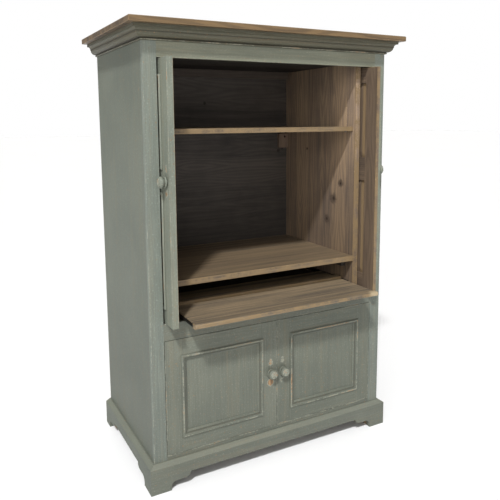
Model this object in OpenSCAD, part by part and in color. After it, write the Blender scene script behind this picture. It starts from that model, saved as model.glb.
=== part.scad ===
// Computer armoire: a desk behind pocket doors, with a pull-out keyboard tray
// and a two-door cupboard below.
// Units are millimetres. +Z is up, +X is to the right and -Y is to the front.
// The origin is on the floor, midway between the back and the front of the tray.
// The pocket doors are drawn slid back, the tray pulled out, the cupboard closed.

/* [Case] */
// Width over the case sides
case_w = 1170; // [1120:10:1240]
// Depth from the face frame to the back
case_d = 668; // [640:2:720]
// Height over the top board
total_h = 1895; // [1895:5:1960]
// Thickness of the case sides
side_t = 20; // [18:1:22]
// Thickness of the face frame
face_t = 22; // [20:1:22]
// Width of the face frame's stiles
stile_w = 56; // [54:1:60]
// Thickness of the deck, the floor and the ceiling
board_t = 18; // [16:1:20]
// Thickness of the back
back_t = 12; // [9:1:12]

/* [Openings] */
// Bottom of the cupboard opening
cupboard_z0 = 140; // [138:1:146]
// Top of the cupboard opening
cupboard_z1 = 636; // [620:2:640]
// Bottom of the desk opening
desk_z0 = 708; // [700:2:708]
// Top of the desk opening
desk_z1 = 1758; // [1740:2:1758]

/* [Desk interior] */
// Distance from a case side's outer face to its partition
pocket_w = 100; // [100:1:104]
// Thickness of the partitions
partition_t = 28; // [25:1:30]
// Set-back of the partitions behind the face frame's front
partition_back = 47; // [44:1:55]
// Height of the monitor shelf's top face
desk_top_z = 867; // [850:1:880]
// Thickness of the monitor shelf
desk_t = 25; // [22:1:28]
// Height of the adjustable shelf's top face
shelf_top_z = 1486; // [1448:38:1524]
// Thickness of the adjustable shelf
shelf_t = 21; // [19:1:24]

/* [Keyboard tray] */
// How far the tray's nosing stands out of the face frame
tray_out = 146; // [130:2:160]
// Depth of the tray with its nosing
tray_d = 440; // [420:5:460]
// Thickness of the tray
tray_t = 19; // [19:1:21]
// Height of the tray's top face
tray_top_z = 736; // [734:1:740]

/* [Pocket doors] */
// How far the left pocket door stands out of its pocket
left_door_out = 80; // [60:2:120]
// How far the right pocket door stands out of its pocket
right_door_out = 62; // [60:2:120]
// Thickness of the pocket doors
pocket_door_t = 26; // [24:1:26]
// Height of a pocket door's middle rail above the door's foot
pocket_mid_z = 522; // [500:1:540]

/* [Cupboard doors] */
// Thickness of the cupboard doors
cupboard_door_t = 22; // [20:1:22]
// Clearance round a cupboard door
door_gap = 2; // [1.5:0.5:3]

/* [Top and plinth] */
// Thickness of the top board
top_t = 22; // [20:1:25]
// Overhang of the top board at the front and the sides
top_over = 68; // [60:1:72]
// Height of the crown moulding
crown_h = 55; // [54:1:58]
// Height of the plinth
plinth_h = 122; // [118:1:124]
// Thickness of the plinth boards
plinth_t = 25; // [22:1:26]
// Height of the plinth's arches
arch_h = 60; // [58:1:64]

/* [Hidden] */
$fn = 48;

// Main planes of the case
half_w = case_w / 2;
face_y = -(case_d - tray_out) / 2;
back_y = face_y + case_d;
frame_back_y = face_y + face_t;
bay_back_y = back_y - back_t;
bay_front_y = face_y + partition_back;
inner_x = half_w - side_t;
opening_x = half_w - stile_w;
partition_x = half_w - pocket_w;
bay_x = partition_x - partition_t;
carcass_z = 60;
ceiling_z = desk_z1 + 20;
case_top_z = total_h - top_t;
crown_z = case_top_z - crown_h;

// Crown section: a bead, an ovolo, a cove and a fillet
bead_r = 4;
ovolo_r = 20;
cove_r = 12;
fillet = 2;
ovolo_top = 2 * bead_r + ovolo_r;
cove_x = 2 * bead_r + ovolo_r + fillet;
crown_out = cove_x + cove_r + fillet;
top_edge_r = 3;

// Bracket feet of the plinth
foot_w = 62;
foot_cove_r = 26;
lobe_x = 128;
lobe_r = 22;
bevel_h = 12;
block_w = 60;

// Shelf pins and their holes
pin_pitch = 38;
pin_rows = [-1 : 5];
pin_r = 2.5;
pin_hole_r = 2.6;
pin_seat = 10;
pin_len = 22;
pin_z = shelf_top_z - shelf_t - pin_r;
pin_ys = [face_y + 109, bay_back_y - 80];

// Inside the case
shelf_back = 62;
shelf_slack = 1;
cleat = [22, 20, 38];
block_size = [58, 18, 78];
block_z = shelf_top_z - shelf_t - 98;
fixing_r = 5;
fixing_hole = [435, 1429];
catch_size = [34, 14, 12];
screw_r = 4;
screw_h = 1.5;
screw_slack = 0.3;
screw_rows = 7;
screw_margin = 40;

// Keyboard tray and its slides
tray_y = face_y - tray_out;
nosing_d = 26;
nosing_r = 6;
nosing_slack = 4;
slide_t = 10;
slide_h = 17;
slide_wall = 2;
slide_lip = 4;
slide_z = tray_top_z - tray_t + 1;
slide_y = bay_front_y + 34;
slide_len = 380;
tray_half_w = bay_x - slide_t;
batten = [38, 12];
batten_y = face_y + 121;
batten_housing = 2;

// Doors: frames of stiles and rails with panels held in grooves
door_stile_w = 78;
panel_recess = 8;
panel_t = 9;
groove = 6;
panel_slack = 0.5;
field_t = 13;
field_bevel = 26;
pocket_door_w = opening_x - 1.5;
pocket_door_h = desk_z1 - desk_z0 - 6;
pocket_door_z = desk_z0 + 3;
pocket_face_x = opening_x - 9;
mid_rail_w = 107;
end_rail_w = 68;
pocket_rails = [
    [0, end_rail_w],
    [pocket_mid_z, pocket_mid_z + mid_rail_w],
    [pocket_door_h - end_rail_w, pocket_door_h],
];
cupboard_door_w = opening_x - 1.5 * door_gap;
cupboard_door_h = cupboard_z1 - cupboard_z0 - 2 * door_gap;
cupboard_rails = [[0, 70], [cupboard_door_h - 79, cupboard_door_h]];

// Bolection moulding round a panel, laid over the frame's inner edge
mould_w = 28;
mould_over = 10;
mould_bead = [7, 1, 5.5];
mould_quirk = [18, -0.5, 2];

// Knobs
knob_inset = 30;
knob_z = 253;
knob_tenon_r = 5;
knob_tenon_len = 14;
knob_neck = [13, 18];
knob_collar_r = 22;
knob_collar_z = 7;
knob_collar_edge = 4;
knob_head_r = 23;
knob_head_z = 24;
knob_edge_r = 9.5;
knob_dome = [6, 31];

// Concealed hinges: a cup in the door's back face and an arm
cup_r = 17.5;
cup_depth = 12;
cup_x = 26;
cup_slack = 0.1;
hinge_rise = 90;
arm_t = 5;
arm_h = 16;
plate_size = [12, 44, 46];

// Carrier that joins a pocket door's hinges to its slides
carrier_w = 90;
carrier_t = 19;
carrier_gap = 14;
carrier_trim = 20;
channel_t = 8;
channel_h = 30;
channel_wall = 2;
channel_lip = 5;
runner_slack = 0.5;
channel_zs = [pocket_door_z + 60, desk_z1 - 110];

// ---- Helpers ----

// A box between two opposite corners
module box(low, high) {
    translate(low) cube(high - low);
}

// Draws its children as they are, or mirrored across the middle of the case
module mirrored(flag) {
    if (flag) mirror([1, 0, 0]) children();
    else children();
}

// Draws its children on the right and again on the left
module both_sides() {
    for (flag = [false, true]) mirrored(flag) children();
}

// ---- Case ----

module side_panel(side) {
    color("#838b80") mirrored(side == "left")
        box([inner_x, frame_back_y, carcass_z], [half_w, back_y, case_top_z]);
}

module side_panel_left() { side_panel("left"); }
module side_panel_right() { side_panel("right"); }

module face_stile(side) {
    color("#9aa194") mirrored(side == "left")
        box([opening_x, face_y, carcass_z], [half_w, frame_back_y, case_top_z]);
}

module face_stile_left() { face_stile("left"); }
module face_stile_right() { face_stile("right"); }

module face_rail(low_z, high_z) {
    color("#9aa194")
        box([-opening_x, face_y, low_z], [opening_x, frame_back_y, high_z]);
}

module top_rail() { face_rail(desk_z1, case_top_z); }
module mid_rail() { face_rail(cupboard_z1, desk_z0); }
module bottom_rail() { face_rail(carcass_z, cupboard_z0); }

// Partition between the desk bay and a pocket, with blind holes for shelf pins
module partition(side) {
    color("#7d5f43") mirrored(side == "left") difference() {
        box([bay_x, bay_front_y, desk_z0], [partition_x, bay_back_y, ceiling_z]);
        for (row = pin_rows, y = pin_ys)
            translate([bay_x - 1, y, pin_z + row * pin_pitch])
                rotate([0, 90, 0]) cylinder(h = pin_seat + 2, r = pin_hole_r);
    }
}

module partition_left() { partition("left"); }
module partition_right() { partition("right"); }

// A full-width board inside the case, given the height of its top face
module case_board(top_z) {
    box([-inner_x, frame_back_y, top_z - board_t], [inner_x, bay_back_y, top_z]);
}

module ceiling_panel() {
    color("#4a3a2c") case_board(ceiling_z + board_t);
}

module tray_deck() {
    color("#6b5038") case_board(desk_z0);
}

module cupboard_floor() {
    color("#6b5038") case_board(cupboard_z0);
}

module desk_shelf() {
    color("#7a5c3f")
        box([-bay_x, bay_front_y - 5, desk_top_z - desk_t], [bay_x, bay_back_y, desk_top_z]);
}

// Battens that carry the monitor shelf at each partition
module desk_cleats() {
    color("#6b5038") both_sides() box(
        [bay_x - cleat.x, bay_front_y + 60, desk_top_z - desk_t - cleat.z],
        [bay_x, bay_back_y, desk_top_z - desk_t]);
}

module adjustable_shelf() {
    color("#8f7048") box(
        [-bay_x + shelf_slack, face_y + shelf_back, shelf_top_z - shelf_t],
        [bay_x - shelf_slack, bay_back_y, shelf_top_z]);
}

module shelf_pins() {
    color("silver") both_sides() for (y = pin_ys)
        translate([bay_x + pin_seat - pin_len, y, pin_z])
            rotate([0, 90, 0]) cylinder(h = pin_len, r = pin_r);
}

module back_panel() {
    color("#5a4532") difference() {
        box([-inner_x, bay_back_y, carcass_z], [inner_x, back_y, case_top_z]);
        fixing_bore();
        screw_heads(screw_r + screw_slack, screw_h + 1);
    }
}

// Batten along the top of the desk bay's back
module back_cleat() {
    color("#5f4834") box(
        [-bay_x, bay_back_y - cleat.y, ceiling_z - cleat.z], [bay_x, bay_back_y, ceiling_z]);
}

// Drilled block behind the shelf, which guides the computer's lead
// Through the block and the back, for a screw into the wall behind
module fixing_bore() {
    translate([fixing_hole[0], bay_back_y - block_size.y - 1, fixing_hole[1]])
        rotate([-90, 0, 0]) cylinder(h = block_size.y + back_t + 2, r = fixing_r);
}
module fixing_block() {
    color("#6e5540") difference() {
        translate([bay_x - block_size.x, bay_back_y - block_size.y, block_z])
            cube(block_size);
        fixing_bore();
    }
}

// Screw heads, or their sinkings, along both edges of the back
module screw_heads(radius, depth) {
    step_z = (case_top_z - carcass_z - 2 * screw_margin) / (screw_rows - 1);
    both_sides() for (row = [0 : screw_rows - 1])
        translate([inner_x - 12, back_y - screw_h, carcass_z + screw_margin + row * step_z])
            rotate([-90, 0, 0]) cylinder(h = depth, r = radius);
}

module back_screws() {
    color("silver") screw_heads(screw_r, screw_h);
}

// ---- Top and crown ----

// Top board with its upper front and side edges eased
module top_board() {
    color("#9a7b55") difference() {
        box([-half_w - top_over, face_y - top_over, case_top_z],
            [half_w + top_over, back_y, total_h]);
        translate([0, face_y - top_over, total_h]) rotate([45, 0, 0])
            cube([case_w * 2, top_edge_r, top_edge_r], center = true);
        both_sides() translate([half_w + top_over, 0, total_h]) rotate([0, 45, 0])
            cube([top_edge_r, case_d * 2, top_edge_r], center = true);
    }
}

// Crown section: x runs outward from the case and y up
module crown_section() {
    cove_y = ovolo_top + 1.5 * fillet;
    translate([bead_r, bead_r]) circle(r = bead_r);
    square([bead_r, crown_h]);
    translate([0, 2 * bead_r]) square([2 * bead_r, crown_h - 2 * bead_r]);
    intersection() {
        translate([2 * bead_r, ovolo_top]) circle(r = ovolo_r);
        square([crown_out, ovolo_top]);
    }
    translate([0, ovolo_top]) square([cove_x, crown_h - ovolo_top]);
    difference() {
        translate([0, cove_y]) square([cove_x + cove_r, crown_h - cove_y]);
        translate([cove_x + cove_r, cove_y]) circle(r = cove_r);
    }
    translate([0, cove_y + cove_r]) square([crown_out, crown_h - cove_y - cove_r]);
}

// Plinth section: x runs outward from the case and y up
module plinth_section() {
    polygon([
        [0, 0], [plinth_t, 0], [plinth_t, plinth_h - bevel_h],
        [plinth_t / 4, plinth_h], [0, plinth_h],
    ]);
}

// Runs a section along the front of the case, mitred at both corners
module front_run(reach, low_z, height) {
    intersection() {
        translate([half_w + reach, face_y, low_z]) rotate([90, 0, -90])
            linear_extrude(case_w + 2 * reach) children();
        translate([0, 0, low_z - 1]) linear_extrude(height + 2) polygon([
            [-half_w - reach, face_y - reach], [half_w + reach, face_y - reach],
            [half_w, face_y], [-half_w, face_y],
        ]);
    }
}

// Runs a section along one side of the case, mitred at the front corner
module side_run(side, reach, low_z, height) {
    mirrored(side == "left") intersection() {
        translate([half_w, back_y, low_z]) rotate([90, 0, 0])
            linear_extrude(case_d + reach) children();
        translate([0, 0, low_z - 1]) linear_extrude(height + 2) polygon([
            [half_w, face_y], [half_w + reach, face_y - reach],
            [half_w + reach, back_y], [half_w, back_y],
        ]);
    }
}

module crown_front() {
    color("#8a9184") front_run(crown_out, crown_z, crown_h) crown_section();
}

module crown_side(side) {
    color("#8a9184") side_run(side, crown_out, crown_z, crown_h) crown_section();
}

module crown_left() { crown_side("left"); }
module crown_right() { crown_side("right"); }

// ---- Plinth ----

// Scrolled inner edge of a bracket foot: a hollow above the floor, then a lobe
module bracket_foot() {
    shoulder_z = arch_h - lobe_r;
    hollow_x = foot_w + foot_cove_r;
    translate([hollow_x, shoulder_z]) square([lobe_x - hollow_x, lobe_r + 1]);
    translate([lobe_x, arch_h]) circle(r = lobe_r);
    difference() {
        translate([0, -1]) square([hollow_x, arch_h + 2]);
        translate([hollow_x, shoulder_z - foot_cove_r]) circle(r = foot_cove_r);
        translate([foot_w, -2]) square([foot_cove_r + 1, shoulder_z - foot_cove_r + 2]);
    }
}

// Outline of the space under a plinth board, between its two feet
module arch_outline(length) {
    difference() {
        translate([0, -1]) square([length, arch_h + 1]);
        bracket_foot();
        translate([length, 0]) mirror([1, 0]) bracket_foot();
    }
}

module plinth_front() {
    color("#959c8f") difference() {
        front_run(plinth_t, 0, plinth_h) plinth_section();
        translate([-half_w, face_y + 1, 0]) rotate([90, 0, 0])
            linear_extrude(plinth_t + 2) arch_outline(case_w);
    }
}

module plinth_side(side) {
    color("#838b80") difference() {
        side_run(side, plinth_t, 0, plinth_h) plinth_section();
        mirrored(side == "left") translate([half_w - 1, face_y, 0]) rotate([90, 0, 90])
            linear_extrude(plinth_t + 2) arch_outline(case_d);
    }
}

module plinth_left() { plinth_side("left"); }
module plinth_right() { plinth_side("right"); }

// Board under the back of the case, cut away between its feet
module plinth_back() {
    color("#6e7468") difference() {
        box([-half_w, bay_back_y - board_t, 0], [half_w, back_y, carcass_z]);
        box([-half_w + lobe_x, bay_back_y - board_t - 1, -1],
            [half_w - lobe_x, back_y + 1, carcass_z / 2]);
    }
}

// Blocks glued in the corners, which carry the case on the floor
module corner_blocks() {
    color("#8f7048") both_sides() for (y = [face_y, bay_back_y - board_t - block_w])
        box([half_w - block_w, y, 0], [half_w, y + block_w, carcass_z]);
}

// ---- Fittings on the case ----

// Magnetic catches over the desk opening and over the cupboard opening
module door_catches() {
    color("#3a3532") both_sides() for (top_z = [ceiling_z, desk_z0 - board_t])
        translate([14, frame_back_y + 4, top_z - catch_size.z]) cube(catch_size);
}

// Channels on the case sides that the pocket doors' runners slide in
module pocket_slides() {
    y0 = frame_back_y + 4;
    y1 = bay_back_y - 30;
    color("silver") both_sides() for (z = channel_zs) difference() {
        box([inner_x - channel_t, y0, z], [inner_x, y1, z + channel_h]);
        box([inner_x - channel_t - 1, y0 - 1, z + channel_lip],
            [inner_x - channel_wall, y1 + 1, z + channel_h - channel_lip]);
    }
}

// Channels on the partitions that the tray's runners slide in
module tray_slide_channels() {
    color("#2f2f30") both_sides() difference() {
        box([bay_x - slide_t, slide_y, slide_z],
            [bay_x, slide_y + slide_len, slide_z + slide_h]);
        box([bay_x - slide_t - 1, slide_y - 1, slide_z + slide_lip],
            [bay_x - slide_wall, slide_y + slide_len + 1, slide_z + slide_h - slide_lip]);
    }
}

// Mounting plates of the cupboard doors' hinges, on the case sides
module hinge_plates() {
    color("silver") both_sides() for (z = hinge_heights(cupboard_door_h))
        translate([
            inner_x - plate_size.x, frame_back_y,
            cupboard_z0 + door_gap + z - plate_size.z / 2,
        ]) cube(plate_size);
}

// ---- Keyboard tray ----

module tray_board() {
    color("#8a6a47") difference() {
        box([-tray_half_w, tray_y + nosing_d, tray_top_z - tray_t],
            [tray_half_w, tray_y + tray_d, tray_top_z]);
        box([-tray_half_w - 1, batten_y, tray_top_z - batten_housing],
            [tray_half_w + 1, batten_y + batten.x, tray_top_z + 1]);
    }
}

// Moulded front edge, a little wider than the tray so that it hides the slides
module tray_nosing() {
    half = bay_x - nosing_slack;
    color("#9a7b50") translate([-half, tray_y, tray_top_z - tray_t])
        rotate([90, 0, 90]) linear_extrude(2 * half) {
            translate([nosing_r, 0]) square([nosing_d - nosing_r, tray_t]);
            translate([0, nosing_r / 2]) square([nosing_r, tray_t - 1.5 * nosing_r]);
            intersection() {
                translate([nosing_r, tray_t - nosing_r]) circle(r = nosing_r);
                square([nosing_r, tray_t]);
            }
        }
}

// Low strip across the tray, let into it, that the keyboard rests against
module tray_batten() {
    color("#6b5038") box(
        [-tray_half_w, batten_y, tray_top_z - batten_housing],
        [tray_half_w, batten_y + batten.x, tray_top_z + batten.y]);
}

module tray_slide_runners() {
    color("#4a4a4c") both_sides() box(
        [tray_half_w, tray_y + nosing_d, slide_z + slide_lip + runner_slack],
        [bay_x - slide_wall - 1, tray_y + tray_d, slide_z + slide_h - slide_lip - runner_slack]);
}

// ---- Doors ----
// A door is drawn with its hinge edge on x = 0, its front face on y = 0 and its
// foot on z = 0, its width along +X and its back towards +Y. Rails are pairs of
// heights, from the lowest up.

// The panels' spaces between rails, reaching into the frame's grooves
module panel_boxes(width, rails, slack) {
    for (i = [1 : len(rails) - 1]) box(
        [door_stile_w - groove + slack, panel_recess, rails[i - 1][1] - groove + slack],
        [width - door_stile_w + groove - slack, panel_recess + panel_t,
            rails[i][0] + groove - slack]);
}

// Panels with a flat front and a bevelled field behind
module door_panels(width, rails) {
    panel_boxes(width, rails, panel_slack);
    for (i = [1 : len(rails) - 1]) {
        span = [width - 2 * door_stile_w, rails[i][0] - rails[i - 1][1]] - [1, 1];
        foot = [door_stile_w + 0.5, panel_recess + panel_t, rails[i - 1][1] + 0.5];
        translate(foot) bevelled_field(span, field_bevel, field_t - panel_t);
    }
}

// A shallow frustum that stands towards +Y on a face as wide and high as span
module bevelled_field(span, bevel, rise) {
    translate([0, rise, 0]) rotate([90, 0, 0]) intersection() {
        rotate([90, 0, 90]) linear_extrude(span.x) field_section(span.y, bevel, rise);
        rotate([90, 0, 0]) translate([0, 0, -span.y]) linear_extrude(span.y)
            field_section(span.x, bevel, rise);
    }
}

module field_section(length, bevel, rise) {
    polygon([[0, rise], [bevel, 0], [length - bevel, 0], [length, rise]]);
}

function hinge_heights(height) = [hinge_rise, height - hinge_rise];

// Hinge cups, or with slack the bores that they sit in
module hinge_cups(thickness, heights, slack) {
    for (z = heights) translate([cup_x, thickness - cup_depth - slack, z])
        rotate([-90, 0, 0]) cylinder(h = cup_depth + slack, r = cup_r + slack);
}

module door_frame(width, height, thickness, rails, heights) {
    difference() {
        for (x = [0, width - door_stile_w])
            box([x, 0, 0], [x + door_stile_w, thickness, height]);
        panel_boxes(width, rails, 0);
        hinge_cups(thickness, heights, cup_slack);
        translate([width - knob_inset, -1, door_knob_z(rails)])
            rotate([-90, 0, 0]) cylinder(h = knob_tenon_len + 1, r = knob_tenon_r + 0.05);
    }
    difference() {
        for (rail = rails)
            box([door_stile_w, 0, rail[0]], [width - door_stile_w, thickness, rail[1]]);
        panel_boxes(width, rails, 0);
    }
}

// A knob sits level with a pocket door's middle rail, or half-way up a panel
function door_knob_z(rails) = len(rails) > 2 ? (rails[1][0] + rails[1][1]) / 2 : knob_z;

// Moulding section: x runs inward from the outer edge and y out from the frame
module mould_section() {
    polygon([
        [0, 0], [0, 2], [14, 2], [20, -1], [mould_w, -panel_recess + 2],
        [mould_w, -panel_recess], [mould_over, -panel_recess], [mould_over, 0],
    ]);
    intersection() {
        translate([mould_bead[0], mould_bead[1]]) circle(r = mould_bead[2]);
        square([mould_w, mould_w]);
    }
    translate([mould_quirk[0], mould_quirk[1]]) circle(r = mould_quirk[2]);
}

// One bar of moulding along +X, its outer edge on z = 0, mitred at both ends
module mould_bar(length) {
    intersection() {
        rotate([180, -90, 0]) linear_extrude(length) mould_section();
        translate([0, mould_w, 0]) rotate([90, 0, 0]) linear_extrude(2 * mould_w) polygon([
            [0, 0], [length, 0], [length - mould_w, mould_w], [mould_w, mould_w],
        ]);
    }
}

// Four mitred bars round a panel
module mould_ring(width, height) {
    mould_bar(width);
    translate([width, 0, height]) rotate([0, 180, 0]) mould_bar(width);
    translate([0, 0, height]) rotate([0, 90, 0]) mould_bar(height);
    translate([width, 0, 0]) rotate([0, -90, 0]) mould_bar(height);
}

module door_moulding(width, rails) {
    side = door_stile_w - mould_over;
    for (i = [1 : len(rails) - 1]) {
        foot = rails[i - 1][1] - mould_over;
        translate([side, 0, foot])
            mould_ring(width - 2 * side, rails[i][0] + mould_over - foot);
    }
}

// Half of a disc with a round edge, its middle at height z
module round_disc(r, z, edge) {
    translate([r - edge, z]) circle(r = edge);
    translate([0, z - edge]) square([r - edge, 2 * edge]);
}

// Turned knob: a tenon, a neck, a collar and a domed head, along +Z
module knob() {
    rotate_extrude() {
        translate([0, -knob_tenon_len]) square([knob_tenon_r, knob_tenon_len + 1]);
        square(knob_neck);
        round_disc(knob_collar_r, knob_collar_z, knob_collar_edge);
        intersection() {
            round_disc(knob_head_r, knob_head_z, knob_edge_r);
            translate([0, knob_dome[0]]) circle(r = knob_dome[1]);
            square(2 * knob_dome[1]);
        }
    }
}

module door_knob(width, rails) {
    translate([width - knob_inset, 0, door_knob_z(rails)]) rotate([90, 0, 0]) knob();
}

// Puts a door into its pocket, on the left, with its free edge out of the opening
module in_pocket(side) {
    out = side == "left" ? left_door_out : right_door_out;
    mirrored(side == "right")
        translate([-pocket_face_x, face_y - out + pocket_door_w, pocket_door_z])
            rotate([0, 0, -90]) children();
}

// Puts a door into the cupboard opening, closed
module in_cupboard(side) {
    mirrored(side == "right")
        translate([-opening_x + door_gap, face_y, cupboard_z0 + door_gap]) children();
}

pocket_hinges = [hinge_rise, pocket_mid_z + mid_rail_w / 2, pocket_door_h - hinge_rise];

module pocket_frame(side) {
    color("#959c8f") in_pocket(side) door_frame(
        pocket_door_w, pocket_door_h, pocket_door_t, pocket_rails, pocket_hinges);
}

module pocket_panels(side) {
    color("#8f968a") in_pocket(side) door_panels(pocket_door_w, pocket_rails);
}

module pocket_moulding(side) {
    color("#8a9184") in_pocket(side) door_moulding(pocket_door_w, pocket_rails);
}

module pocket_knob(side) {
    color("#8a9184") in_pocket(side) door_knob(pocket_door_w, pocket_rails);
}

// Cups in the door's back, with arms that reach round its edge to the carrier
module pocket_hinge_set(side) {
    reach = 22;
    color("silver") in_pocket(side) {
        hinge_cups(pocket_door_t, pocket_hinges, 0);
        for (z = pocket_hinges - [1, 1, 1] * arm_h / 2) {
            box([-reach, pocket_door_t, z], [cup_x + 8, pocket_door_t + arm_t, z + arm_h]);
            box([-reach, -carrier_gap, z], [-reach + arm_t, pocket_door_t, z + arm_h]);
        }
    }
}

// Upright carrier beside the door's hinge edge, with a runner in each channel
module pocket_carrier(side) {
    front = 4;
    runner_reach = inner_x - pocket_face_x - channel_wall - 1;
    color("#8f7048") in_pocket(side) {
        box([front - carrier_w, -carrier_gap - carrier_t, carrier_trim],
            [front, -carrier_gap, pocket_door_h - carrier_trim]);
        for (z = channel_zs) box(
            [front - carrier_w, -runner_reach,
                z - pocket_door_z + channel_lip + runner_slack],
            [front, -carrier_gap - carrier_t,
                z - pocket_door_z + channel_h - channel_lip - runner_slack]);
    }
}

module left_pocket_frame() { pocket_frame("left"); }
module left_pocket_panels() { pocket_panels("left"); }
module left_pocket_moulding() { pocket_moulding("left"); }
module left_pocket_knob() { pocket_knob("left"); }
module left_pocket_hinges() { pocket_hinge_set("left"); }
module left_pocket_carrier() { pocket_carrier("left"); }
module right_pocket_frame() { pocket_frame("right"); }
module right_pocket_panels() { pocket_panels("right"); }
module right_pocket_moulding() { pocket_moulding("right"); }
module right_pocket_knob() { pocket_knob("right"); }
module right_pocket_hinges() { pocket_hinge_set("right"); }
module right_pocket_carrier() { pocket_carrier("right"); }

cupboard_hinges = hinge_heights(cupboard_door_h);

module cupboard_frame(side) {
    color("#959c8f") in_cupboard(side) door_frame(
        cupboard_door_w, cupboard_door_h, cupboard_door_t, cupboard_rails, cupboard_hinges);
}

module cupboard_panel(side) {
    color("#8f968a") in_cupboard(side) door_panels(cupboard_door_w, cupboard_rails);
}

module cupboard_moulding(side) {
    color("#8a9184") in_cupboard(side) door_moulding(cupboard_door_w, cupboard_rails);
}

module cupboard_knob(side) {
    color("#8a9184") in_cupboard(side) door_knob(cupboard_door_w, cupboard_rails);
}

// Cups in the door's back, with the flanges that screw to it
module cupboard_hinge_set(side) {
    color("silver") in_cupboard(side) {
        hinge_cups(cupboard_door_t, cupboard_hinges, 0);
        for (z = cupboard_hinges) box(
            [4, cupboard_door_t, z - arm_h], [cup_x + cup_r, cupboard_door_t + 2, z + arm_h]);
    }
}

module left_cupboard_frame() { cupboard_frame("left"); }
module left_cupboard_panel() { cupboard_panel("left"); }
module left_cupboard_moulding() { cupboard_moulding("left"); }
module left_cupboard_knob() { cupboard_knob("left"); }
module left_cupboard_hinges() { cupboard_hinge_set("left"); }
module right_cupboard_frame() { cupboard_frame("right"); }
module right_cupboard_panel() { cupboard_panel("right"); }
module right_cupboard_moulding() { cupboard_moulding("right"); }
module right_cupboard_knob() { cupboard_knob("right"); }
module right_cupboard_hinges() { cupboard_hinge_set("right"); }

// ---- Assembly ----

side_panel_left();
side_panel_right();
face_stile_left();
face_stile_right();
top_rail();
mid_rail();
bottom_rail();
partition_left();
partition_right();
ceiling_panel();
tray_deck();
cupboard_floor();
desk_shelf();
desk_cleats();
adjustable_shelf();
shelf_pins();
back_panel();
back_cleat();
fixing_block();
back_screws();
top_board();
crown_front();
crown_left();
crown_right();
plinth_front();
plinth_left();
plinth_right();
plinth_back();
corner_blocks();
door_catches();
pocket_slides();
tray_slide_channels();
hinge_plates();
tray_board();
tray_nosing();
tray_batten();
tray_slide_runners();
left_pocket_frame();
left_pocket_panels();
left_pocket_moulding();
left_pocket_knob();
left_pocket_hinges();
left_pocket_carrier();
right_pocket_frame();
right_pocket_panels();
right_pocket_moulding();
right_pocket_knob();
right_pocket_hinges();
right_pocket_carrier();
left_cupboard_frame();
left_cupboard_panel();
left_cupboard_moulding();
left_cupboard_knob();
left_cupboard_hinges();
right_cupboard_frame();
right_cupboard_panel();
right_cupboard_moulding();
right_cupboard_knob();
right_cupboard_hinges();
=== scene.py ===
"""Looks of the computer armoire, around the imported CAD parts: worn sage paint outside and stained
pine inside."""

import math

import bpy
from mathutils import Matrix, Vector


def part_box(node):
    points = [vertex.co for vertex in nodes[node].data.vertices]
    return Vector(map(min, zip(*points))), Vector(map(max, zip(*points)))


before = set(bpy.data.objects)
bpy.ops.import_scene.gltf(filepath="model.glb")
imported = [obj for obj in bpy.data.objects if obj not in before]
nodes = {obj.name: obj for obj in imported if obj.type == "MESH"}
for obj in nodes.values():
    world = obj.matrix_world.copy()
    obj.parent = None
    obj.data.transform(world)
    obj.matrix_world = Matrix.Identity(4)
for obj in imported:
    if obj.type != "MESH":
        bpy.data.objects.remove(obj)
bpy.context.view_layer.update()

# ---- Camera: the photograph's viewpoint ----

CAMERA_PLACE = (-1.2925, -2.4159, 1.5171)
CAMERA_YAW = 28.32  # degrees from +Y towards +X
CAMERA_PITCH = -7.73
CAMERA_ROLL = 0.39
CAMERA_LENS = 42.1  # mm on a 36 mm sensor
CAMERA_SHIFT = -0.10

camera = bpy.data.objects.new("camera", bpy.data.cameras.new("camera"))
bpy.context.scene.collection.objects.link(camera)
bpy.context.scene.camera = camera
yaw, pitch = math.radians(CAMERA_YAW), math.radians(CAMERA_PITCH)
ahead = Vector(
    (
        math.sin(yaw) * math.cos(pitch),
        math.cos(yaw) * math.cos(pitch),
        math.sin(pitch),
    )
)
turn = ahead.to_track_quat("-Z", "Y").to_matrix().to_4x4()
turn = turn @ Matrix.Rotation(math.radians(-CAMERA_ROLL), 4, "Z")
camera.matrix_world = Matrix.Translation(CAMERA_PLACE) @ turn
camera.data.lens = CAMERA_LENS
camera.data.sensor_width = 36
camera.data.shift_y = CAMERA_SHIFT
camera.data.clip_end = 200

# ---- Colours, linear; the wood pairs are (light, dark) ----

SAGE = (0.164, 0.178, 0.146)
SAGE_DEEP = (0.136, 0.151, 0.126)
SAGE_WARM = (0.176, 0.154, 0.104)
SAGE_PALE = (0.33, 0.34, 0.28)
# Painted shade in the recesses of mouldings
RECESS_SHADE = (0.040, 0.036, 0.026)
PINE_BARE = (0.36, 0.20, 0.085)
PINE_BARE_DARK = (0.20, 0.105, 0.042)
HALL = ((0.066, 0.056, 0.048), (0.026, 0.023, 0.021))
CEILING = ((0.060, 0.052, 0.044), (0.028, 0.025, 0.022))
PARTITION = ((0.350, 0.250, 0.160), (0.115, 0.092, 0.082))
UMBER = ((0.220, 0.160, 0.096), (0.056, 0.047, 0.040))
TRAY = ((0.345, 0.260, 0.160), (0.070, 0.063, 0.055))
TOP = ((0.195, 0.128, 0.064), (0.055, 0.041, 0.029))
RAW = ((0.34, 0.24, 0.14), (0.22, 0.15, 0.085))
BLOCK = ((0.22, 0.155, 0.11), (0.105, 0.076, 0.056))
# The back cleat is lighter than the back panel: painted light at the top of the bay
CLEAT = ((0.135, 0.105, 0.084), (0.070, 0.056, 0.046))
RUBBED = (0.225, 0.158, 0.084)
RUBBED_TOP = (0.185, 0.122, 0.062)
RUBBED_PALE = (0.46, 0.37, 0.24)
INSIDE = ((0.178, 0.130, 0.090), (0.072, 0.054, 0.043))
KNOT = (0.020, 0.014, 0.010)
KNOT_RIM = (0.085, 0.062, 0.048)
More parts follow.
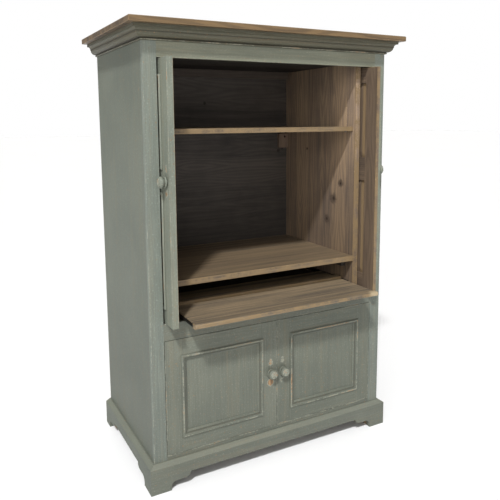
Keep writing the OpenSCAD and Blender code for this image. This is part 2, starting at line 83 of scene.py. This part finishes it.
# Metals: base, bloom and roughness
STEEL = ((0.50, 0.50, 0.48), (0.33, 0.33, 0.32), 0.36)
BLACK = ((0.030, 0.030, 0.032), (0.018, 0.018, 0.019), 0.42)
BROWN_PLASTIC = ((0.030, 0.024, 0.020), (0.050, 0.040, 0.033))

# Tints of the paint
PLAIN = (1.0, 1.0, 1.0)
PALER = (1.22, 1.24, 1.24)
COOLER = (1.22, 1.27, 1.34)
# The top rail: warmer than the stiles, as painted shade under the crown
RAIL_SHADE_TINT = (1.24, 1.20, 1.12)
# The crown: darker and warmer, as painted shade under the top board
CROWN_SHADE_TINT = (0.68, 0.60, 0.50)
DUSKY = (0.86, 0.90, 0.90)

# Painted shade: the paint is darker towards the floor, where less light falls; its share of the full
# tone at the foot, and the heights
FOOT_SHADE = 0.80
FOOT_SHADE_FROM = 0.05
FOOT_SHADE_TO = 1.10


class Shade:
    """A material's node tree, with a short call for each kind of node."""

    def __init__(self, name):
        self.mat = bpy.data.materials.new(name)
        self.mat.use_nodes = True
        self.tree = self.mat.node_tree
        self.shader = self.tree.nodes["Principled BSDF"]
        self.place = self.tree.nodes.new("ShaderNodeTexCoord").outputs["Object"]
        parts = self.tree.nodes.new("ShaderNodeSeparateXYZ")
        self.tree.links.new(self.place, parts.inputs[0])
        self.xyz = parts.outputs

    def wire(self, socket, value):
        if isinstance(value, bpy.types.NodeSocket):
            self.tree.links.new(value, socket)
        elif socket.type == "RGBA":
            socket.default_value = (*value[:3], 1)
        else:
            socket.default_value = value

    def math(self, kind, a, b=0.0):
        n = self.tree.nodes.new("ShaderNodeMath")
        n.operation = kind
        self.wire(n.inputs[0], a)
        self.wire(n.inputs[1], b)
        return n.outputs[0]

    def add(self, a, b):
        return self.math("ADD", a, b)

    def sub(self, a, b):
        return self.math("SUBTRACT", a, b)

    def mul(self, a, b):
        return self.math("MULTIPLY", a, b)

    def vector(self, kind, a, b=(0, 0, 0)):
        n = self.tree.nodes.new("ShaderNodeVectorMath")
        n.operation = kind
        self.wire(n.inputs[0], a)
        self.wire(n.inputs[1], b)
        return n.outputs["Value" if kind in ("LENGTH", "DISTANCE") else "Vector"]

    def join(self, x, y, z):
        n = self.tree.nodes.new("ShaderNodeCombineXYZ")
        for socket, value in zip(n.inputs, (x, y, z)):
            self.wire(socket, value)
        return n.outputs[0]

    def noise(self, vector, scale, detail=3.0, rough=0.55):
        n = self.tree.nodes.new("ShaderNodeTexNoise")
        self.wire(n.inputs["Vector"], vector)
        n.inputs["Scale"].default_value = scale
        n.inputs["Detail"].default_value = detail
        n.inputs["Roughness"].default_value = rough
        return n.outputs[0]

    def white(self, vector):
        n = self.tree.nodes.new("ShaderNodeTexWhiteNoise")
        self.wire(n.inputs["Vector"], vector)
        return n.outputs["Value"]

    def ramp(self, value, low, high, to_low=0.0, to_high=1.0):
        n = self.tree.nodes.new("ShaderNodeMapRange")
        n.interpolation_type = "SMOOTHSTEP"
        for socket, v in zip(n.inputs, (value, low, high, to_low, to_high)):
            self.wire(socket, v)
        return n.outputs[0]

    def mix(self, share, a, b, kind="MIX"):
        n = self.tree.nodes.new("ShaderNodeMix")
        n.data_type = "RGBA"
        n.blend_type = kind
        colours = [c for c in n.inputs if c.type == "RGBA"]
        self.wire(n.inputs[0], share)
        self.wire(colours[0], a)
        self.wire(colours[1], b)
        return [c for c in n.outputs if c.type == "RGBA"][0]

    def blend(self, share, a, b):
        """Numbers a and b, mixed."""
        return self.add(a, self.mul(share, self.sub(b, a)))

    def from_level(self, axis, level):
        """Metres from the plane where axis, a letter, is at level."""
        return self.math("ABSOLUTE", self.sub(self.xyz["xyz".index(axis)], level))

    def grey(self, value):
        return self.join(value, value, value)

    def bump(self, height, depth, strength):
        n = self.tree.nodes.new("ShaderNodeBump")
        n.inputs["Strength"].default_value = strength
        n.inputs["Distance"].default_value = depth
        self.wire(n.inputs["Height"], height)
        return n.outputs[0]

    def finish(self, look, depth=0.0006, strength=0.5, specular=0.35):
        """look is (colour, roughness, height)."""
        self.wire(self.shader.inputs["Base Color"], look[0])
        self.wire(self.shader.inputs["Roughness"], look[1])
        self.wire(self.shader.inputs["Normal"], self.bump(look[2], depth, strength))
        self.shader.inputs["Specular IOR Level"].default_value = specular
        return self.mat


# ---- Wood ----


def seed_of(name):
    """A number for each board, the same every run, that shifts its grain."""
    return sum((i + 3) * ord(letter) for i, letter in enumerate(name)) % 97


def pine(s, along, name, plank=0.11):
    """Year rings, fibre, broad streaks and each glued plank's own tone, 0 to 1, for a board of pine."""
    order = {"x": (0, 1, 2), "y": (1, 2, 0), "z": (2, 0, 1)}[along]
    k = seed_of(name)
    u, v, w = [s.add(s.xyz[a], 0.37 * k + 0.11 * i) for i, a in enumerate(order)]
    tone = s.white(
        s.join(
            s.math("FLOOR", s.math("DIVIDE", v, plank)),
            s.math("FLOOR", s.math("DIVIDE", w, plank)),
            3.7,
        )
    )
    shifted = s.add(v, s.mul(tone, 0.5))
    sway = s.noise(s.join(s.mul(u, 0.9), s.mul(shifted, 5.0), w), 1.0, 2.0)
    heart = s.add(s.mul(sway, 0.16), 0.05)
    across = s.sub(s.math("PINGPONG", shifted, plank / 2), heart)
    depth = s.add(s.math("PINGPONG", w, 0.05), 0.03)
    radius = s.math("SQRT", s.add(s.mul(across, across), s.mul(depth, depth)))
    ring = s.ramp(s.math("PINGPONG", radius, 0.0045), 0.0006, 0.0042)
    fibre = s.noise(s.join(s.mul(u, 7.0), s.mul(v, 260.0), s.mul(w, 260.0)), 1.0, 3.0)
    streak = s.noise(s.join(s.mul(u, 1.3), s.mul(v, 40.0), s.mul(w, 40.0)), 1.0, 3.0)
    return ring, fibre, streak, tone


def pine_frame(s, name, across, stile):
    """The same for a door, with the grain of its rails across, and the hairline at each joint."""
    low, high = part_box(name)
    axis = "xyz".index(across)
    off = s.math("ABSOLUTE", s.sub(s.xyz[axis], (low[axis] + high[axis]) / 2))
    inner = (high[axis] - low[axis]) / 2 - stile
    rail = s.math("LESS_THAN", off, inner)
    looks = zip(pine(s, "z", name), pine(s, across, name))
    joint = s.ramp(s.math("ABSOLUTE", s.sub(off, inner)), 0.0007, 0.0)
    return [s.blend(rail, a, b) for a, b in looks], joint


def edge_distance(s, low, high):
    """Metres from a point on a box's surface to its nearest edge."""
    d = []
    for axis in range(3):
        middle, half = (low[axis] + high[axis]) / 2, (high[axis] - low[axis]) / 2
        off = s.math("ABSOLUTE", s.sub(s.xyz[axis], middle))
        d.append(s.math("MAXIMUM", s.sub(half, off), 0.0))
    small = s.math("MINIMUM", d[0], d[1])
    large = s.math("MAXIMUM", d[0], d[1])
    return s.math("MAXIMUM", small, s.math("MINIMUM", large, d[2]))


def open_box(name, joined):
    """A node's box, carried a metre past each side where it meets another board, as in "-x +y"."""
    low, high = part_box(name)
    for side in joined.split():
        axis = "xyz".index(side[1])
        if side[0] == "-":
            low[axis] -= 1
        else:
            high[axis] += 1
    return low, high


def rubbing(s, name, joined, crest, spots, reach):
    """0 to 1 where hands rub: a box's edges, a moulding's crest, and spots of (point, radius). On the
    crown's crest it is a painted highlight instead, and on a door moulding's crest both wear and
    painted highlight.
    """
    found = []
    if joined is not None:
        near = s.ramp(edge_distance(s, *open_box(name, joined)), reach, 0.0)
        found.append(s.mul(near, 0.7))
    if crest is not None:
        axis, level, far = crest
        found.append(s.ramp(s.from_level(axis, level), far, 0.0))
    for point, radius in spots:
        off = s.vector("DISTANCE", s.place, point)
        found.append(s.ramp(off, radius, radius * 0.3))
    rub = found[0] if found else s.mul(s.xyz[0], 0.0)
    for other in found[1:]:
        rub = s.math("MAXIMUM", rub, other)
    return rub


def paint(
    s,
    name,
    grain,
    joined=None,
    crest=None,
    recesses=(),
    spots=(),
    reach=0.005,
    wear=0.5,
    tint=PLAIN,
    faded=None,
):
    """Worn milk paint over pine, as (colour, roughness, height), darker towards the floor as painted
    shade.
    crest, recesses and faded are (axis, level, reach); recesses get painted shade and faded a pale band
    of painted highlight."""
    ring, fibre, streak, _ = grain
    shifted = s.vector("ADD", s.place, (seed_of(name) * 0.21,) * 3)
    patches = s.noise(shifted, 3.2, 3.0)
    grit = s.noise(shifted, 170.0, 3.0, 0.7)
    brush = s.add(s.mul(streak, 0.35), s.mul(fibre, 0.65))
    base = s.mix(s.ramp(patches, 0.30, 0.72), SAGE_DEEP, SAGE)
    base = s.mix(s.mul(s.ramp(streak, 0.46, 0.74), 0.35), base, SAGE_WARM)
    base = s.mix(s.mul(s.ramp(grit, 0.54, 0.70), 0.55), base, SAGE_WARM)
    base = s.mix(s.mul(s.ramp(grit, 0.44, 0.30), 0.45), base, SAGE_PALE)
    base = s.mix(1.0, base, tint, "MULTIPLY")
    base = s.mix(1.0, base, s.grey(s.ramp(brush, 0.34, 0.66, 0.86, 1.08)), "MULTIPLY")
    base = s.mix(s.mul(s.ramp(ring, 0.5, 0.0), 0.16), base, SAGE_DEEP)
    # Painted shade: darker towards the floor
    foot_shade = s.ramp(s.xyz[2], FOOT_SHADE_FROM, FOOT_SHADE_TO, FOOT_SHADE, 1.0)
    base = s.mix(1.0, base, s.grey(foot_shade), "MULTIPLY")
    for axis, level, far in recesses:
        # Painted shade: darker near each recess level
        recess_shade = s.ramp(s.from_level(axis, level), far, far * 0.2)
        base = s.mix(s.mul(recess_shade, 0.75), base, RECESS_SHADE)
    # Painted highlight: a pale band at the level
    if faded is not None:
        axis, level, far = faded
        highlight_share = s.ramp(s.from_level(axis, level), far, far * 0.8)
        base = s.mix(s.mul(highlight_share, 0.2), base, SAGE_PALE)
    rub = rubbing(s, name, joined, crest, spots, reach)
    fine = s.sub(s.noise(s.place, 110.0, 4.0, 0.65), 0.5)
    broad = s.sub(s.noise(shifted, 8.0, 3.0, 0.6), 0.5)
    worn = s.add(s.mul(rub, wear + 0.35), s.mul(s.add(fine, s.mul(broad, 1.5)), 1.2))
    thin = s.mul(s.ramp(worn, 0.34, 0.60), s.ramp(rub, 0.05, 0.4))
    bare = s.mul(s.ramp(worn, 0.62, 0.80), s.ramp(rub, 0.1, 0.5))
    colour = s.mix(s.mul(thin, 0.6), base, SAGE_PALE)
    wood = s.mix(ring, PINE_BARE_DARK, PINE_BARE)
    speck = s.mul(s.ramp(s.noise(shifted, 95.0, 2.0, 0.6), 0.66, 0.72), 0.45)
    colour = s.mix(s.math("MAXIMUM", s.mul(bare, 0.8), speck), colour, wood)
    rough = s.ramp(s.sub(brush, s.mul(bare, 0.3)), 0.0, 1.0, 0.46, 0.70)
    height = s.sub(s.add(brush, s.mul(ring, 0.3)), s.mul(bare, 0.8))
    return colour, rough, height


def stain(
    s,
    name,
    grain,
    tones,
    figure=0.5,
    rubbed=None,
    front=None,
    joined=None,
    marks=(),
    lift=None,
    sheen=0.5,
):
    """Stained pine, as (colour, roughness, height). front is the y of a front face that is rubbed all
    over. marks are knots, worn spots and a painted highlight, (point, radius, colour). lift makes a
    board paler towards its top as painted light, (low z, high z, share at the low one, share at the
    high one)."""
    ring, fibre, streak, tone = grain
    light, dark = tones
    shifted = s.vector("ADD", s.place, (seed_of(name) * 0.17,) * 3)
    blotch = s.noise(shifted, 5.0, 4.0, 0.6)
    pores = s.noise(shifted, 210.0, 2.0, 0.7)
    mixed = s.add(
        s.add(s.mul(streak, figure), s.mul(fibre, 0.25)),
        s.add(s.mul(s.add(tone, pores), 0.12), s.mul(blotch, 0.56 - figure)),
    )
    colour = s.mix(s.ramp(mixed, 0.32, 0.66), dark, light)
    colour = s.mix(s.mul(s.ramp(ring, 0.65, 0.05), 0.35), colour, dark)
    # Painted light: paler towards the top
    if lift is not None:
        colour = s.mix(1.0, colour, s.grey(s.ramp(s.xyz[2], *lift)), "MULTIPLY")
    if rubbed is not None:
        fine = s.sub(s.noise(s.place, 130.0, 4.0, 0.7), 0.5)
        rub = s.mul(s.xyz[0], 0.0)
        if joined is not None:
            near = s.ramp(edge_distance(s, *open_box(name, joined)), 0.006, 0.0)
            rub = s.mul(near, 0.8)
        if front is not None:
            face = s.ramp(s.sub(s.xyz[1], front), 0.004, 0.0005)
            rub = s.math("MAXIMUM", rub, s.mul(face, 0.60))
        rough_patch = s.sub(s.noise(shifted, 16.0, 3.0, 0.6), 0.5)
        worn = s.add(rub, s.add(s.mul(fine, 0.8), s.mul(rough_patch, 1.1)))
        share = s.mul(s.ramp(worn, 0.36, 0.74), s.ramp(rub, 0.05, 0.3))
        colour = s.mix(share, colour, rubbed)
        pale = s.mul(s.ramp(worn, 0.92, 1.02), s.ramp(rub, 0.5, 0.7))
        colour = s.mix(s.mul(pale, 0.6), colour, RUBBED_PALE)
    for point, radius, mark in marks:
        warp = s.mul(s.sub(s.noise(s.place, 45.0, 3.0), 0.5), radius * 1.3)
        off = s.add(s.vector("DISTANCE", s.place, point), warp)
        colour = s.mix(s.mul(s.ramp(off, radius, radius * 0.35), 0.85), colour, mark)
    rough = s.ramp(mixed, 0.2, 0.7, sheen + 0.14, sheen - 0.06)
    return colour, rough, s.add(s.mul(fibre, 0.8), s.mul(ring, 0.6))


def between(s, share, a, b):
    """Look a, with look b over it where share is 1."""
    colour = s.mix(share, a[0], b[0])
    return colour, s.blend(share, a[1], b[1]), s.blend(share, a[2], b[2])


def dress(name, material):
    nodes[name].data.materials.clear()
    nodes[name].data.materials.append(material)


def paint_board(name, along, **kind):
    s = Shade("paint_" + name)
    dress(name, s.finish(paint(s, name, pine(s, along, name), **kind)))


def stain_board(name, along, tones, plank=0.11, **kind):
    s = Shade("stain_" + name)
    grain = pine(s, along, name, plank)
    dress(name, s.finish(stain(s, name, grain, tones, **kind), 0.0007, 0.45, 0.4))


def metal(name, base, dark, rough):
    """Plated or coated steel with fine scratches and a duller bloom."""
    s = Shade("metal_" + name)
    bloom = s.noise(s.place, 60.0, 4.0, 0.6)
    scratch = s.noise(s.vector("MULTIPLY", s.place, (900.0, 40.0, 900.0)), 1.0, 2.0)
    s.shader.inputs["Metallic"].default_value = 0.9
    look = (
        s.mix(s.ramp(bloom, 0.35, 0.7), dark, base),
        s.ramp(scratch, 0.3, 0.7, rough - 0.07, rough + 0.1),
        scratch,
    )
    dress(name, s.finish(look, 0.0002, 0.3, 0.5))


def plastic(name):
    s = Shade("plastic_" + name)
    grit = s.noise(s.place, 700.0, 2.0)
    colour = s.mix(s.noise(s.place, 25.0), *BROWN_PLASTIC)
    rough = s.ramp(grit, 0.3, 0.7, 0.42, 0.6)
    dress(name, s.finish((colour, rough, grit), 0.0002, 0.4))


# ---- Case ----

# A pale band along the plinth's bevelled top edge: painted highlight
plinth_bevel = ("z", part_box("plinth_front")[1].z, 0.014)
crown_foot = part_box("crown_front")[0].z
# The crown: the pale band along its bead (crest) is painted highlight, the dark lines above the bead
# and at the fillet (recesses) are painted shade, and its tint is painted shade
CROWN = {
    "crest": ("z", crown_foot + 0.003, 0.004),
    "recesses": (("z", crown_foot + 0.009, 0.003), ("z", crown_foot + 0.030, 0.003)),
    "wear": 0.1,
    "tint": CROWN_SHADE_TINT,
}

bay_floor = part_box("desk_shelf")[1].z
bay_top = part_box("ceiling_panel")[0].z

# Knots of the partitions: metres back from the front and up from the foot, radius and colour
PARTITION_KNOTS = (
    (0.16, 0.42, 0.034, KNOT_RIM),
    (0.16, 0.42, 0.012, KNOT),
    (0.105, 0.50, 0.026, KNOT_RIM),
    (0.105, 0.50, 0.008, KNOT),
    (0.215, 0.31, 0.030, KNOT_RIM),
    (0.215, 0.31, 0.009, KNOT),
    (0.40, 0.66, 0.010, KNOT),
)

for side in ("left", "right"):
    name = "side_panel_" + side
    low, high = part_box(name)
    s = Shade("paint_" + name)
    grain = pine(s, "z", name)
    behind = stain(s, name, grain, INSIDE, figure=0.38)
    depth = s.sub(s.math("ABSOLUTE", s.xyz[0]), min(abs(low.x), abs(high.x)))
    share = s.ramp(depth, 0.0005, 0.0015)
    look = between(s, share, behind, paint(s, name, grain, tint=DUSKY))
    dress(name, s.finish(look))
    paint_board("face_stile_" + side, "z", joined="+y -z +z", wear=0.3, tint=COOLER)
    paint_board("crown_" + side, "y", **CROWN)
    paint_board("plinth_" + side, "y", faded=plinth_bevel, wear=0.15, tint=DUSKY)
    name = "partition_" + side
    low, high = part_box(name)
    knots = [
        (Vector((x, low.y + dy, low.z + dz)), radius, colour)
        for x in (low.x, high.x)
        for dy, dz, radius, colour in PARTITION_KNOTS
    ]
    stain_board(
        name,
        "z",
        PARTITION,
        figure=0.38,
        rubbed=RUBBED,
        front=low.y,
        joined="+y -z +z",
        marks=knots,
        # painted light: paler towards the top of the bay
        lift=(bay_floor, bay_top, 0.69, 1.50),
    )

# Painted shade: the top rail is warmer under the crown
paint_board("top_rail", "x", joined="-x +x +y", wear=0.3, tint=RAIL_SHADE_TINT)
for rail in ("mid_rail", "bottom_rail"):
    paint_board(rail, "x", joined="-x +x +y", wear=0.3)
paint_board("crown_front", "x", **CROWN)
paint_board("plinth_front", "x", faded=plinth_bevel, wear=0.15)

# Knots of the back, set out from the corner of the fixing block
block_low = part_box("fixing_block")[0]
back_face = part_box("back_panel")[0].y
back_knots = [
    (Vector((block_low.x + 0.004, back_face, block_low.z - 0.018)), 0.012, KNOT),
    (Vector((block_low.x + 0.030, back_face, block_low.z - 0.006)), 0.007, KNOT),
    (Vector((block_low.x - 0.44, back_face, block_low.z + 0.24)), 0.012, KNOT),
]
for board, along, tones in (
    ("ceiling_panel", "x", CEILING),
    # lighter tones than the back: painted light
    ("back_cleat", "x", CLEAT),
    ("tray_deck", "x", CEILING),
    ("cupboard_floor", "x", INSIDE),
    ("desk_cleats", "y", HALL),
    ("fixing_block", "z", BLOCK),
    ("plinth_back", "x", RAW),
    ("corner_blocks", "z", RAW),
):
    stain_board(board, along, tones, figure=0.3, sheen=0.6)
s = Shade("stain_back_panel")
grain = pine(s, "x", "back_panel", 0.14)
inner = stain(
    s,
    "back_panel",
    grain,
    HALL,
    figure=0.25,
    marks=back_knots,
    # painted light: paler towards the top of the bay
    lift=(bay_floor, bay_top, 0.75, 1.90),
    sheen=0.6,
)
outer = stain(s, "back_panel", grain, RAW, figure=0.4, sheen=0.62)
outside = s.ramp(s.xyz[1], back_face + 0.0005, back_face + 0.0010)
dress("back_panel", s.finish(between(s, outside, inner, outer), 0.0007, 0.45, 0.4))

low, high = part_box("tray_nosing")
# A pale spot at the nosing's right front corner: wear, and painted highlight along its top edge
worn_and_lit_corner = (Vector((high.x - 0.012, low.y, high.z)), 0.045, RUBBED_PALE)
for board in ("desk_shelf", "adjustable_shelf", "tray_board", "tray_nosing", "tray_batten"):
    stain_board(
        board,
        "x",
        TRAY if board.startswith("tray") else UMBER,
        plank=0.13,
        rubbed=RUBBED,
        front=None if board == "tray_board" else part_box(board)[0].y,
        joined="+y" if board == "tray_nosing" else "-x +x +y",
        marks=[worn_and_lit_corner] if board == "tray_nosing" else (),
        sheen=0.44,
    )
stain_board(
    "top_board",
    "x",
    TOP,
    plank=0.15,
    rubbed=RUBBED_TOP,
    joined="+y",
    sheen=0.46,
)

for part in ("shelf_pins", "back_screws", "pocket_slides", "hinge_plates"):
    metal(part, *STEEL)
for part in ("tray_slide_channels", "tray_slide_runners"):
    metal(part, *BLACK)
plastic("door_catches")

# ---- Doors: painted in front, stained behind ----

# How far a panel's edge reaches into the frame
PANEL_TONGUE = 0.0055
# The painted share of the right pocket door's thickness, seen on its free edge
PAINTED_EDGE = 0.36
# How far short of the back face the front's paint stops
STAINED_SKIN = 0.0012
# A pocket panel's bevel, paler as painted highlight: where it fades, from full to none, metres in from
# the panel's edge
LIT_BEVEL = (0.030, 0.024)
# Wear above and below a knob: metres up from its middle, and radius
KNOB_WEAR = ((0.046, 0.020), (0.060, 0.013), (-0.044, 0.026))


def door(prefix, across, panels, tint):
    """across is the axis that the door's width lies on, and the other level axis is its thickness."""
    face_axis = "y" if across == "x" else "x"
    axis = "xyz".index(face_axis)
    low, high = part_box(prefix + "frame")
    knob_low, knob_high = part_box(prefix + "knob")
    grip = (knob_low + knob_high) / 2
    outward = 1 if grip[axis] > (low[axis] + high[axis]) / 2 else -1
    face, back = (high[axis], low[axis]) if outward > 0 else (low[axis], high[axis])
    stile = (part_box(prefix + panels)[0] - low)["xyz".index(across)] + PANEL_TONGUE
    if across == "y" and prefix.startswith("right"):
        paint_from = face - outward * (high[axis] - low[axis]) * PAINTED_EDGE
    else:
        paint_from = back + outward * STAINED_SKIN

    spots = []
    for rise, radius in KNOB_WEAR:
        spot = grip.copy()
        spot[axis] = face
        spot.z += rise
        spots.append((spot, radius))

    s = Shade("door_" + prefix + "frame")
    grain, joint = pine_frame(s, prefix + "frame", across, stile)
    front = paint(
        s, prefix + "frame", grain, joined="", spots=spots, wear=0.30, tint=tint
    )
    behind = stain(
        s, prefix + "frame", grain, INSIDE, rubbed=RUBBED, front=low.y, joined=""
    )
    depth = s.mul(s.sub(s.xyz[axis], paint_from), outward)
    look = between(s, s.ramp(depth, 0.0, -0.0008), front, behind)
    colour = s.mix(s.mul(joint, 0.35), look[0], KNOT)
    dress(
        prefix + "frame",
        s.finish((colour, look[1], s.sub(look[2], s.mul(joint, 1.0)))),
    )

    name = prefix + panels
    low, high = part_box(name)
    s = Shade("door_" + name)
    grain = pine(s, "z", name)
    depth = s.mul(s.sub(s.xyz[axis], (low[axis] + high[axis]) / 2), outward)
    front = paint(s, name, grain, tint=tint)
    behind = stain(s, name, grain, INSIDE)
    if across == "y":
        run = s.sub(s.xyz[1], low.y + PANEL_TONGUE)
        # Painted highlight: the field's bevel is paler, as if lit
        bevel = s.mul(s.ramp(run, *LIT_BEVEL), s.ramp(run, -0.001, 0.001))
        behind = (s.mix(s.mul(bevel, 0.7), behind[0], RUBBED), *behind[1:])
    dress(name, s.finish(between(s, s.ramp(depth, 0.002, 0.001), front, behind)))

    name = prefix + "moulding"
    low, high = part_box(name)
    crest = high[axis] if outward > 0 else low[axis]
    # The moulding's pale crest is paint worn thin and also painted highlight; the band darkened where
    # it meets the frame's face is painted shade
    paint_board(
        name,
        "z" if across == "y" else "x",
        crest=(face_axis, crest, 0.0018),
        recesses=((face_axis, face, 0.0022),),
        wear=0.2,
        tint=tint,
    )
    crest = knob_high[axis] if outward > 0 else knob_low[axis]
    paint_board(
        prefix + "knob",
        face_axis,
        crest=(face_axis, crest, 0.003),
        wear=0.2,
        tint=tint,
    )
    metal(prefix + "hinges", *STEEL)


# The left cupboard door's paint is lighter than the right's: painted light, falling off towards the
# right
door("left_cupboard_", "x", "panel", (1.08, 1.08, 1.07))
door("right_cupboard_", "x", "panel", (1.00, 1.01, 1.00))
for side in ("left", "right"):
    door(side + "_pocket_", "y", "panels", PALER)
    stain_board(side + "_pocket_carrier", "z", RAW, sheen=0.6)

# ---- Rounded arrises ----

SHARP = (
    "shelf_pins",
    "back_screws",
    "back_panel",
    "hinge_plates",
    "pocket_slides",
    "tray_slide_channels",
    "tray_slide_runners",
)
for name, obj in nodes.items():
    if name in SHARP or name.endswith(("hinges", "knob")):
        continue
    weld = obj.modifiers.new("weld", "WELD")
    weld.merge_threshold = 0.00002
    bevel = obj.modifiers.new("arris", "BEVEL")
    bevel.width = 0.0015
    bevel.segments = 2
    bevel.limit_method = "ANGLE"
    bevel.angle_limit = math.radians(50)
    bevel.use_clamp_overlap = True

# ---- Studio ----

FLOOR_REACH = 60.0
floor_mesh = bpy.data.meshes.new("floor")
corners = [(x * FLOOR_REACH, y * FLOOR_REACH, 0) for x, y in ((-1, -1), (1, -1), (1, 1), (-1, 1))]
floor_mesh.from_pydata(corners, [], [(0, 1, 2, 3)])
floor = bpy.data.objects.new("floor", floor_mesh)
bpy.context.scene.collection.objects.link(floor)
s = Shade("floor")
cloud = s.noise(s.place, 0.6, 2.0)
pale = s.mix(cloud, (0.895, 0.905, 0.925), (0.915, 0.925, 0.945))
floor_mesh.materials.append(s.finish((pale, 0.8, cloud), 0.001, 0.05, 0.2))

# The camera sees a white backdrop, and the object is lit by a softer, warmer room
world = bpy.data.worlds.new("studio")
world.use_nodes = True
tree = world.node_tree
room = tree.nodes["Background"]
room.inputs[0].default_value = (1.0, 0.965, 0.91, 1)
room.inputs[1].default_value = 0.36
backdrop = tree.nodes.new("ShaderNodeBackground")
backdrop.inputs[0].default_value = (1.0, 1.0, 1.0, 1)
backdrop.inputs[1].default_value = 1.0
seen = tree.nodes.new("ShaderNodeLightPath")
blend = tree.nodes.new("ShaderNodeMixShader")
tree.links.new(seen.outputs["Is Camera Ray"], blend.inputs[0])
tree.links.new(room.outputs[0], blend.inputs[1])
tree.links.new(backdrop.outputs[0], blend.inputs[2])
tree.links.new(blend.outputs[0], tree.nodes["World Output"].inputs[0])
bpy.context.scene.world = world
bpy.context.scene.view_settings.view_transform = "Standard"


def lamp(name, kind, place, target, size, power, colour):
    """size is a far lamp's width in degrees (SUN) or a near lamp's in metres (AREA)."""
    light = bpy.data.lights.new(name, kind)
    light.energy = power
    light.color = colour
    if kind == "SUN":
        light.angle = math.radians(size)
    else:
        light.shape = "DISK"
        light.size = size
    obj = bpy.data.objects.new(name, light)
    obj.location = place
    aim = (Vector(target) - Vector(place)).to_track_quat("-Z", "Y")
    obj.rotation_euler = aim.to_euler()
    bpy.context.scene.collection.objects.link(obj)


UPPER_FRONT = (-0.3, -0.26, 1.5)
lamp("key", "SUN", (-0.40, -0.50, 0.77), (0, 0, 0), 5, 3.0, (1.0, 0.995, 0.985))
lamp("fill", "SUN", (-0.75, -1.0, 0.25), (0, 0, 0), 50, 0.9, (1.0, 0.97, 0.93))
lamp("glow", "AREA", (-1.6, -2.2, 2.9), UPPER_FRONT, 1.2, 11, (1.0, 1.0, 1.0))
